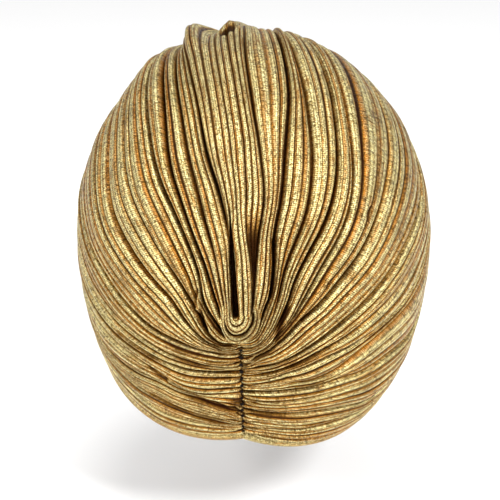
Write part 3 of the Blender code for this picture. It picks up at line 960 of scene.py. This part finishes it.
# %% [markdown]
# ## Gold knit material
#
# The knit is a warm gold ground with pale metallic thread on the crests, and orange flanks where
# the cloth is stretched. Painted shade turns the valleys and the gaps between the stitches dark
# brown, and so the folds, creases, slot and seam puckers that the ridge mark darkens; painted
# highlights and glints brighten the stitches on the crests, and larger patches of painted sheen
# vary the tone. The stitches are rows about 1 mm apart in the cloth's own map, so they follow
# every pleat.

# %% Gold knit
STITCH_LENGTH = 1.02 * MM
WALES_PER_RIB = 3.6
ROW_SHIFT = 0.5
STREAK_LENGTH = 16.0 * MM
STREAKS_PER_RIB = 2.2
FLECK_SIZE = 0.60 * MM
PATCH_SIZE = 14.0 * MM

STITCH_UNEVEN = 0.25
KNIT_METALLIC = 0.80
KNIT_SPECULAR = 0.2
BUMP_STRENGTH = 0.85
BUMP_DEPTH = 0.40 * MM
GLINT_HEIGHT = 0.7
FLECK_HEIGHT = 0.8
INSIDE_SHARE = 0.5

# Where each change starts and ends, and what it gives there; 0 and 1 where nothing is said
KNIT_RANGES = {
    "rib flank": (0.58, 0.80),
    "tinted flank": (0.05, 0.50, 0.30, 1.0),
    "tinted rib": (0.68, 1.00, 0.0, 0.60),
    "bare streak": (0.54, 0.70, 0.0, 0.85),
    "low ground": (0.92, 0.45, 0.0, 0.75),
    "stitch middle": (0.44, 0.12, 0.15, 0.80),
    "bright stitch": (0.40, 1.0, 0.0, 0.50),
    "less on bare": (0.0, 1.0, 1.0, 0.30),
    "shine by height": (0.35, 0.90, 0.10, 1.0),
    "dark stitch": (0.60, 1.0, 0.0, 0.60),
    "dark fleck": (0.50, 0.36, 0.0, 0.85),
    "bright fleck": (0.53, 0.62),
    "glitter by height": (0.30, 0.90, 0.1, 0.9),
    "between stitches": (0.34, 0.60, 0.0, 0.72),
    "valley": (0.60, 0.15, 0.0, 0.97),
    "patchy sheen": (0.42, 0.66, 0.0, 0.25),
    "roughness": (0.0, 1.0, 0.28, 0.58),
}


class Wiring:
    """Short ways to add maths, ranges and colour mixes to one node tree."""

    def __init__(self, tree):
        self.tree = tree

    def put(self, node, key, value):
        if isinstance(value, bpy.types.NodeSocket):
            self.tree.links.new(value, node.inputs[key])
        else:
            node.inputs[key].default_value = value

    def math(self, operation, *values):
        node = add_node(self.tree, "ShaderNodeMath", {"operation": operation})
        for index, value in enumerate(values):
            self.put(node, index, value)
        return node.outputs[0]

    def range(self, value, name):
        low, high, *given = KNIT_RANGES[name]
        start, stop = given or (0.0, 1.0)
        limits = {"From Min": low, "From Max": high, "To Min": start, "To Max": stop}
        kind = {"interpolation_type": "SMOOTHSTEP"}
        return add_node(self.tree, "ShaderNodeMapRange", kind, {"Value": value}, limits).outputs["Result"]

    def mix(self, amount, first, second, blend="MIX"):
        node = add_node(self.tree, "ShaderNodeMix", {"data_type": "RGBA", "blend_type": blend})
        for key, given in ((0, amount), (6, first), (7, second)):
            self.put(node, key, given)
        return node.outputs[2]

    def mark(self, name):
        return add_node(self.tree, "ShaderNodeAttribute", {"attribute_name": name}).outputs["Fac"]


def gold_knit(name, metal_code, ground_code, valley_shade_code, highlight_code, dark_code):
    material, tree, shader = new_material(name)
    wire = Wiring(tree)
    metal, ground, valley, bright, dark = (
        linear(code) for code in (metal_code, ground_code, valley_shade_code, highlight_code, dark_code))
    # the ridge mark holds the rib crests darkened by painted shade
    ridge, part, tint, inside = (wire.mark(label) for label in ("ridge", "part", "tint", "inside"))
    knit = add_node(tree, "ShaderNodeUVMap", {"uv_map": "knit"}).outputs["UV"]
    spot = add_node(tree, "ShaderNodeTexCoord").outputs["Object"]
    # one cell for each stitch, laid in slightly uneven rows along the pleat
    scaled = add_node(tree, "ShaderNodeVectorMath", {"operation": "MULTIPLY"}, {0: knit},
                      {1: (1.0 / STITCH_LENGTH, WALES_PER_RIB, 1.0)})
    split = add_node(tree, "ShaderNodeSeparateXYZ", None, {0: scaled.outputs[0]})
    row_shift = wire.math("MULTIPLY", split.outputs[1], ROW_SHIFT)
    shifted = add_node(tree, "ShaderNodeCombineXYZ", None,
                       {0: wire.math("ADD", split.outputs[0], row_shift), 1: split.outputs[1]})
    stitch = add_node(tree, "ShaderNodeTexVoronoi", {"voronoi_dimensions": "2D"},
                      {"Vector": shifted.outputs[0]}, {"Scale": 1.0, "Randomness": STITCH_UNEVEN})
    distance = stitch.outputs["Distance"]
    glint = add_node(tree, "ShaderNodeSeparateColor", None, {"Color": stitch.outputs["Color"]}).outputs
    drawn = add_node(tree, "ShaderNodeVectorMath", {"operation": "MULTIPLY"}, {0: knit},
                     {1: (1.0 / STREAK_LENGTH, STREAKS_PER_RIB, 1.0)})
    streak, fleck, patch = (
        add_node(tree, "ShaderNodeTexNoise", {"noise_dimensions": shape}, {"Vector": place},
                 {"Scale": scale, "Detail": detail, "Roughness": roughness}).outputs["Fac"]
        for shape, place, scale, detail, roughness in (
            ("2D", drawn.outputs[0], 1.0, 2.0, 0.5),
            ("3D", spot, 1.0 / FLECK_SIZE, 2.0, 0.7),
            ("3D", spot, 1.0 / PATCH_SIZE, 3.0, 0.55),
        ))
    # how much of the ground shows: on the flank of a rib, and on whole ribs by their tint, which differs at
    # random and rises as painted shade towards the seam and in the centre fold's hollow
    flank = wire.math("MULTIPLY", wire.range(part, "rib flank"), wire.range(tint, "tinted flank"))
    bare = wire.math("MAXIMUM", flank, wire.range(tint, "tinted rib"))
    bare = wire.math("MAXIMUM", bare, wire.range(streak, "bare streak"))
    less_on_bare = wire.range(bare, "less on bare")
    # the orange ground shows low on the ribs, and more where the ridge mark holds painted shade
    base = wire.mix(wire.math("MAXIMUM", bare, wire.range(ridge, "low ground")), metal, ground)
    # painted highlights: bright middles of the stitches and random painted glints, strongest on the lit
    # crests
    shine = wire.math("ADD", wire.range(distance, "stitch middle"), wire.range(glint["Red"], "bright stitch"))
    shine = wire.math("MULTIPLY", shine, less_on_bare)
    shine = wire.math("MULTIPLY", shine, wire.range(ridge, "shine by height"))
    # painted glints: bright flecks on the crests
    glitter = wire.math("MULTIPLY", wire.range(fleck, "bright fleck"), wire.range(ridge, "glitter by height"))
    glitter = wire.math("MULTIPLY", glitter, less_on_bare)
    # coats over the base, from the first to the last
    for amount, colour in (
        (shine, bright),
        (wire.range(glint["Green"], "dark stitch"), dark),
        (wire.range(fleck, "dark fleck"), dark),
        (glitter, bright),
        # painted shade in the gaps between the stitches
        (wire.range(distance, "between stitches"), valley),
        # painted shade in the valleys and wherever the ridge mark is shaded
        (wire.range(ridge, "valley"), valley),
        # painted sheen: larger patches go darker where less sheen is painted
        (wire.range(patch, "patchy sheen"), dark),
        (wire.math("MULTIPLY", inside, INSIDE_SHARE), ground),
    ):
        base = wire.mix(amount, base, colour)
    height = wire.math("SUBTRACT", wire.math("MULTIPLY", glint["Red"], GLINT_HEIGHT), distance)
    height = wire.math("ADD", height, wire.math("MULTIPLY", fleck, FLECK_HEIGHT))
    bump = add_node(tree, "ShaderNodeBump", None, {"Height": height},
                    {"Strength": BUMP_STRENGTH, "Distance": BUMP_DEPTH})
    shader.inputs["Metallic"].default_value = KNIT_METALLIC
    shader.inputs["Specular IOR Level"].default_value = KNIT_SPECULAR
    tree.links.new(base, shader.inputs["Base Color"])
    tree.links.new(wire.range(glint["Blue"], "roughness"), shader.inputs["Roughness"])
    tree.links.new(bump.outputs["Normal"], shader.inputs["Normal"])
    return material


side_knit = gold_knit("gold_lurex_knit", "#CBAC56", "#B26C02", "#2A0E00", "#FFF3B6", "#483206")
roll_knit = gold_knit("gold_lurex_knit_edge", "#D2B664", "#B87A0A", "#2C1200", "#FFF3B6", "#503C0A")
for thing in (cloth[LEFT], cloth[RIGHT], centre):
    thing.data.materials.append(side_knit)
roll.data.materials.append(roll_knit)

# %% Thread material
THREAD_FIBRE = 0.4 * MM
thread, tree, shader = new_material("dark_seam_thread")
spot = add_node(tree, "ShaderNodeTexCoord").outputs["Object"]
noise = add_node(tree, "ShaderNodeTexNoise", None, {"Vector": spot}, {"Scale": 1.0 / THREAD_FIBRE})
shade = Wiring(tree).mix(noise.outputs["Fac"], linear("#060403"), linear("#181009"))
tree.links.new(shade, shader.inputs["Base Color"])
shader.inputs["Roughness"].default_value = 0.90
shader.inputs["Specular IOR Level"].default_value = 0.1

# %% Seam stitches
STITCH_TOP = -0.0225
STITCH_LOW = -0.0735
SEAM_STITCHES = 14
THREAD_RADIUS = 0.60 * MM
THREAD_SPAN = 0.95 * MM
THREAD_DEPTH = 0.9 * MM
THREAD_SINK = 0.90
STITCH_SEED = 5
STITCH_POINTS = 4
STITCH_ARC = {"Resolution": 9, "Start Angle": 0.95, "Sweep Angle": 1.25}
STITCH_TILT = (0.15, 0.35, 0.15)
STITCH_SIZES = (0.75, 1.25)


def seam_line(name):
    """A line of points down the seam groove."""
    heights = np.linspace(STITCH_TOP, STITCH_LOW, SEAM_STITCHES * STITCH_POINTS)
    back = HALF_DEPTH * np.sqrt(1.0 - (heights / LOWER_DROP) ** 2)
    points = np.stack([np.zeros_like(heights), back, heights], -1)
    points = points - dome_normal(points) * THREAD_DEPTH + CENTRE
    mesh = bpy.data.meshes.new(name)
    mesh.from_pydata(points.tolist(), [(n, n + 1) for n in range(len(points) - 1)], [])
    return add_object(name, mesh)


def stitch_tree():
    tree = bpy.data.node_groups.new("seam_stitches", "GeometryNodeTree")
    face = tree.interface
    face.new_socket("Geometry", in_out="INPUT", socket_type="NodeSocketGeometry")
    sockets = {}
    for label, kind, value in (
        ("Stitches", "NodeSocketInt", SEAM_STITCHES),
        ("Span", "NodeSocketFloat", THREAD_SPAN),
        ("Thread radius", "NodeSocketFloat", THREAD_RADIUS),
        ("Seed", "NodeSocketInt", STITCH_SEED),
    ):
        sockets[label] = face.new_socket(label, in_out="INPUT", socket_type=kind)
        sockets[label].default_value = value
    face.new_socket("Geometry", in_out="OUTPUT", socket_type="NodeSocketGeometry")
    given = add_node(tree, "NodeGroupInput").outputs
    curve = add_node(tree, "GeometryNodeMeshToCurve", None, {"Mesh": given["Geometry"]})
    points = add_node(tree, "GeometryNodeCurveToPoints", {"mode": "COUNT"},
                      {"Curve": curve.outputs["Curve"], "Count": given["Stitches"]})
    arc = add_node(tree, "GeometryNodeCurveArc", {"mode": "RADIUS"}, {"Radius": given["Span"]}, STITCH_ARC)
    ring = add_node(tree, "GeometryNodeCurvePrimitiveCircle", None,
                    {"Radius": given["Thread radius"]}, {"Resolution": 8})
    tube = add_node(tree, "GeometryNodeCurveToMesh", None,
                    {"Curve": arc.outputs["Curve"], "Profile Curve": ring.outputs["Curve"]},
                    {"Fill Caps": True})
    sink = add_node(tree, "ShaderNodeMath", {"operation": "MULTIPLY"}, {0: given["Span"]}, {1: -THREAD_SINK})
    down = add_node(tree, "ShaderNodeCombineXYZ", None, {"Y": sink.outputs[0]})
    seat = add_node(tree, "GeometryNodeTransform", None,
                    {"Geometry": tube.outputs["Mesh"], "Translation": down.outputs[0]})
    tilt = add_node(tree, "FunctionNodeRandomValue", {"data_type": "FLOAT_VECTOR"}, {"Seed": given["Seed"]},
                    {0: [-angle for angle in STITCH_TILT], 1: STITCH_TILT})
    size = add_node(tree, "FunctionNodeRandomValue", {"data_type": "FLOAT"}, {"Seed": given["Seed"]},
                    {2: STITCH_SIZES[0], 3: STITCH_SIZES[1]})
    placed = add_node(tree, "GeometryNodeInstanceOnPoints", None, {
        "Points": points.outputs["Points"], "Instance": seat.outputs["Geometry"],
        "Rotation": tilt.outputs[0], "Scale": size.outputs[1]})
    real = add_node(tree, "GeometryNodeRealizeInstances", None, {"Geometry": placed.outputs["Instances"]})
    dressed = add_node(tree, "GeometryNodeSetMaterial", None, {"Geometry": real.outputs["Geometry"]})
    dressed.inputs["Material"].default_value = thread
    out = add_node(tree, "NodeGroupOutput")
    tree.links.new(dressed.outputs["Geometry"], out.inputs[0])
    return tree, {label: socket.identifier for label, socket in sockets.items()}


line = seam_line("seam_thread")
tree, identifiers = stitch_tree()
modifier = line.modifiers.new("stitches", "NODES")
modifier.node_group = tree
modifier[identifiers["Stitches"]] = SEAM_STITCHES
plain = bpy.data.meshes.new_from_object(line.evaluated_get(bpy.context.evaluated_depsgraph_get()))
line.modifiers.clear()
line.data = plain
plain.polygons.foreach_set("use_smooth", [True] * len(plain.polygons))
plain.materials.clear()
plain.materials.append(thread)
print("stitch faces", len(plain.polygons))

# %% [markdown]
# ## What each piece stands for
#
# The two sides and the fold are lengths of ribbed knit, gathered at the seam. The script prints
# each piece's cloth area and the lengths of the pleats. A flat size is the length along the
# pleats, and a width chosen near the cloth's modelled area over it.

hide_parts("left_panel")
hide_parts("right_panel")
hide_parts("centre_fold")
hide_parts("edge_roll")
for thing in (cloth[LEFT], cloth[RIGHT], centre, roll, line):
    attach(thing, "root")


def half_surface(thing):
    return sum(p.area for p in thing.data.polygons) / 2.0


for thing in (cloth[LEFT], cloth[RIGHT], centre, roll):
    print(thing.name, "cloth area, square cm", round(half_surface(thing) * 1e4, 1))
for side in (LEFT, RIGHT):
    lengths = fields[side][3][:, -1]
    least, mean, most = (round(length / MM) for length in (lengths.min(), lengths.mean(), lengths.max()))
    print(SIDE_NAME[side], "pleat length mm", least, mean, most)

# %% [markdown]
# ## Studio
#
# A plain pale floor, two soft lights behind the head at both sides, and one above.

# %% Floor and light
FLOOR_DROP = 0.06
FLOOR_SIZE = 6.0
SKY_STRENGTH = 0.68
LIGHTS = (
    # name, place, size, power
    ("key", (-0.60, 0.95, 0.70), 0.30, 18.0),
    ("fill", (0.75, 0.95, 0.60), 0.35, 9.5),
    ("top", (0.0, 0.3, 1.4), 0.7, 11.0),
)
scene = bpy.context.scene
scene.view_settings.view_transform = "Standard"
world = bpy.data.worlds.new("studio")
scene.world = world
world.use_nodes = True
sky = world.node_tree.nodes["Background"]
sky.inputs["Color"].default_value = linear("#FFFFFF")
sky.inputs["Strength"].default_value = SKY_STRENGTH

floor_height = cad_low[2] - FLOOR_DROP
corners = [(x * FLOOR_SIZE, y * FLOOR_SIZE, floor_height) for x, y in ((-1, -1), (1, -1), (1, 1), (-1, 1))]
floor_mesh = bpy.data.meshes.new("floor")
floor_mesh.from_pydata(corners, [], [(0, 1, 2, 3)])
floor = add_object("floor", floor_mesh)
paper, _, paper_shader = new_material("white_paper")
paper_shader.inputs["Base Color"].default_value = linear("#FCFCFC")
paper_shader.inputs["Roughness"].default_value = 0.9
floor_mesh.materials.append(paper)

for name, spot, size, power in LIGHTS:
    light = bpy.data.lights.new(name, "AREA")
    light.shape = "DISK"
    light.size = size
    light.energy = power
    thing = add_object(name, light)
    thing.location = spot
    thing.rotation_euler = (Vector(CENTRE) - Vector(spot)).to_track_quat("-Z", "Y").to_euler()

# %% [markdown]
# ## Camera
#
# Behind the head, a little to the wearer's left and 20 degrees above, with a long lens. The
# small shift puts the cap where it sits in the frame.

# %% Camera
CAMERA_TURN = 183.3
CAMERA_RISE = 20.0
CAMERA_FAR = 1.0
PICTURE_PIXELS = 500.0
PIXEL = 0.518 * MM
SENSOR = 36.0
CAP_CENTRE_PIXEL = (253.0, 234.2)
angle, rise = math.radians(CAMERA_TURN), math.radians(CAMERA_RISE)
back = Vector((math.sin(angle) * math.cos(rise), -math.cos(angle) * math.cos(rise), math.sin(rise)))
camera = add_object("camera", bpy.data.cameras.new("camera"))
camera.location = Vector(CENTRE) + back * CAMERA_FAR
camera.rotation_euler = (-back).to_track_quat("-Z", "Y").to_euler()
camera.data.sensor_width = SENSOR
camera.data.lens = SENSOR * CAMERA_FAR / (PICTURE_PIXELS * PIXEL)
camera.data.shift_x = (PICTURE_PIXELS / 2.0 - CAP_CENTRE_PIXEL[0]) / PICTURE_PIXELS
camera.data.shift_y = (CAP_CENTRE_PIXEL[1] - PICTURE_PIXELS / 2.0) / PICTURE_PIXELS
scene.camera = camera
print("lens", round(camera.data.lens, 1))
